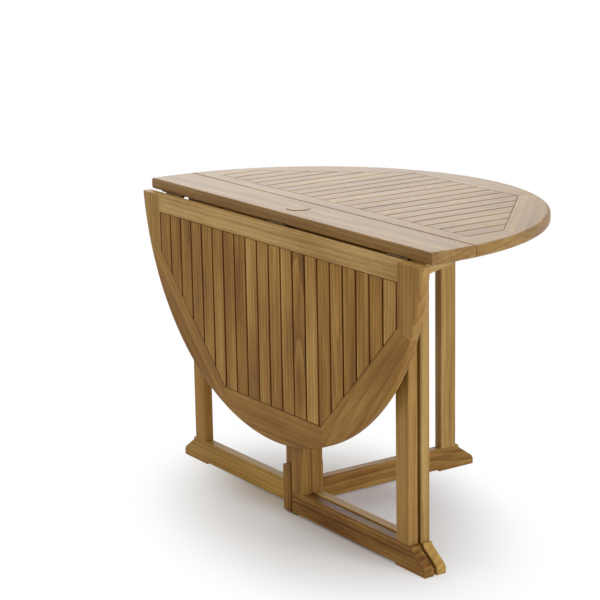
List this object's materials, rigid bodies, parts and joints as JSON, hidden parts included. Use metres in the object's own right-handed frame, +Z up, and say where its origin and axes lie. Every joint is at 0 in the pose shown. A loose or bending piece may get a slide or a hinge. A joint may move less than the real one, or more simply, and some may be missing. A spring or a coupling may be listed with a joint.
{
  "type": "folding gateleg table",
  "caption": "Round folding garden table with slatted hinged leaves carried by swing-out gate legs, shown with the near leaf hanging and the far leaf raised.",
  "frame": {"origin": "middle of the table's box on the floor, with the near leaf hanging and the far leaf raised; the middle line of the fixed frame is at y = -0.2549", "axes": "+X along the centre board to the right as seen from the hanging leaf, +Y towards the raised leaf, +Z up"},
  "size_m": [1.1998, 0.6902, 0.7615],
  "materials": {
    "teak": "sanded, oiled",
    "brass": "satin",
    "stainless_steel": "satin"
  },
  "bodies": {
    "frame": {"centre_board": "teak", "end_bearer_screws": "stainless_steel", "far_hinge_fixed_plates": "brass", "far_hinge_pins": "brass", "far_pivot_block": "teak", "far_pivot_plate": "brass", "fixed_hinge_screws": "brass", "frame_base_rail": "teak", "frame_left_centre_post": "teak", "frame_left_leg": "teak", "frame_left_top_rail": "teak", "frame_right_centre_post": "teak", "frame_right_leg": "teak", "frame_right_top_rail": "teak", "frame_top_rail_screws": "stainless_steel", "left_end_bearer": "teak", "lower_pivot_pins": "brass", "near_hinge_fixed_plates": "brass", "near_hinge_pins": "brass", "near_pivot_block": "teak", "near_pivot_plate": "brass", "pivot_block_dowels": "teak", "pivot_plate_screws": "brass", "right_end_bearer": "teak"},
    "near_leaf": {"near_leaf_batten_screws": "stainless_steel", "near_leaf_hinge_plates": "brass", "near_leaf_hinge_rail": "teak", "near_leaf_hinge_screws": "brass", "near_leaf_inner_batten": "teak", "near_leaf_left_diagonal_board": "teak", "near_leaf_left_end_board": "teak", "near_leaf_outer_batten": "teak", "near_leaf_outer_board": "teak", "near_leaf_right_diagonal_board": "teak", "near_leaf_right_end_board": "teak", "near_leaf_slats": "teak"},
    "far_leaf": {"far_leaf_batten_screws": "stainless_steel", "far_leaf_hinge_plates": "brass", "far_leaf_hinge_rail": "teak", "far_leaf_hinge_screws": "brass", "far_leaf_inner_batten": "teak", "far_leaf_left_diagonal_board": "teak", "far_leaf_left_end_board": "teak", "far_leaf_outer_batten": "teak", "far_leaf_outer_board": "teak", "far_leaf_right_diagonal_board": "teak", "far_leaf_right_end_board": "teak", "far_leaf_slats": "teak"},
    "near_gate": {"near_gate_base_rail": "teak", "near_gate_leg": "teak", "near_gate_stile": "teak", "near_gate_top_rail": "teak", "near_gate_upper_pin": "brass"},
    "far_gate": {"far_gate_base_rail": "teak", "far_gate_leg": "teak", "far_gate_stile": "teak", "far_gate_top_rail": "teak", "far_gate_upper_pin": "brass"},
    "plug": {"parasol_plug": "teak"}
  },
  "joints": [
    {"name": "near_leaf_hinge", "type": "hinge", "parent": "frame", "child": "near_leaf", "pos_m": [0, -0.31562, 0.7305], "axis": [-1, 0, 0], "range_deg": [0, 90]},
    {"name": "far_leaf_hinge", "type": "hinge", "parent": "frame", "child": "far_leaf", "pos_m": [0, -0.19412, 0.7305], "axis": [1, 0, 0], "range_deg": [0, 2]},
    {"name": "near_gate_pivot", "type": "hinge", "parent": "frame", "child": "near_gate", "pos_m": [0.03, -0.28887, 0], "axis": [0, 0, -1], "range_deg": [0, 1.4]},
    {"name": "far_gate_pivot", "type": "hinge", "parent": "frame", "child": "far_gate", "pos_m": [-0.03, -0.22087, 0], "axis": [0, 0, 1], "range_deg": [0, 90]},
    {"name": "plug_lift", "type": "slide", "parent": "frame", "child": "plug", "axis": [0, 0, 1], "range_m": [0, 0.06]}
  ]
}
